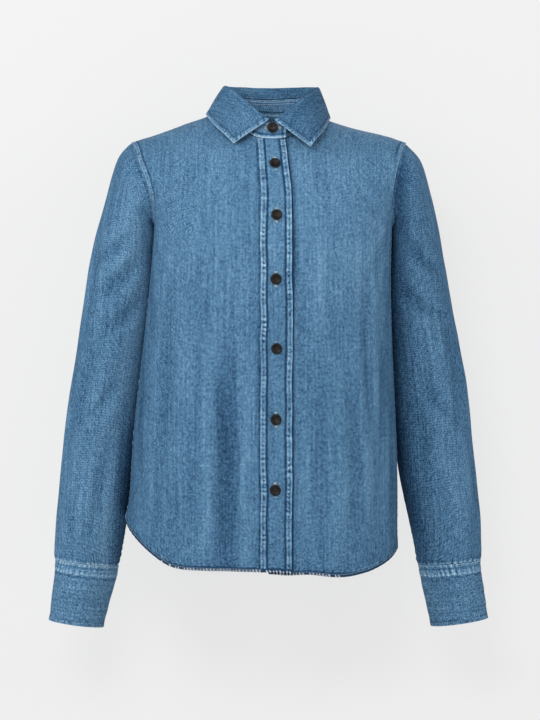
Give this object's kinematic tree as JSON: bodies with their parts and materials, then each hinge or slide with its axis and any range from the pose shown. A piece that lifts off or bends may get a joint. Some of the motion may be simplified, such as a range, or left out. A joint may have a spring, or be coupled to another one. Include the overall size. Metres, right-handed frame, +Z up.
{
  "type": "denim shirt",
  "caption": "Women's long-sleeved denim shirt, buttoned and filled out hollow, with a point collar on a stand, a stitched placket and curved hem.",
  "frame": {"origin": "the middle of the base of the neck, where the wearer's neck and shoulders hold the shirt", "axes": "+Z up, -Y out of the front, so the wearer's right is at -X and the wearer's left at +X"},
  "size_m": [0.5968, 0.2551, 0.7389],
  "materials": {
    "right_front": "mid blue washed denim",
    "left_front": "mid blue washed denim",
    "placket": "mid blue washed denim, doubled, bleached at its edges",
    "back": "mid blue washed denim",
    "yoke": "mid blue washed denim",
    "right_sleeve": "mid blue washed denim",
    "left_sleeve": "mid blue washed denim",
    "right_cuff": "mid blue washed denim, doubled",
    "left_cuff": "mid blue washed denim, doubled",
    "collar_stand": "mid blue washed denim, doubled",
    "collar_leaf": "mid blue washed denim, doubled, bleached at its edges",
    "front_button_1": "dark brown, soft gloss",
    "front_button_2": "dark brown, soft gloss",
    "front_button_3": "dark brown, soft gloss",
    "front_button_4": "dark brown, soft gloss",
    "front_button_5": "dark brown, soft gloss",
    "front_button_6": "dark brown, soft gloss",
    "stand_button": "dark brown, soft gloss",
    "right_cuff_button": "dark brown, soft gloss",
    "left_cuff_button": "dark brown, soft gloss"
  },
  "bodies": {
    "root": {"right_front": "right_front", "left_front": "left_front", "placket": "placket", "back": "back", "yoke": "yoke", "right_sleeve": "right_sleeve", "left_sleeve": "left_sleeve", "right_cuff": "right_cuff", "left_cuff": "left_cuff", "collar_stand": "collar_stand", "collar_leaf": "collar_leaf", "front_button_1": "front_button_1", "front_button_2": "front_button_2", "front_button_3": "front_button_3", "front_button_4": "front_button_4", "front_button_5": "front_button_5", "front_button_6": "front_button_6", "stand_button": "stand_button", "right_cuff_button": "right_cuff_button", "left_cuff_button": "left_cuff_button"}
  },
  "joints": []
}
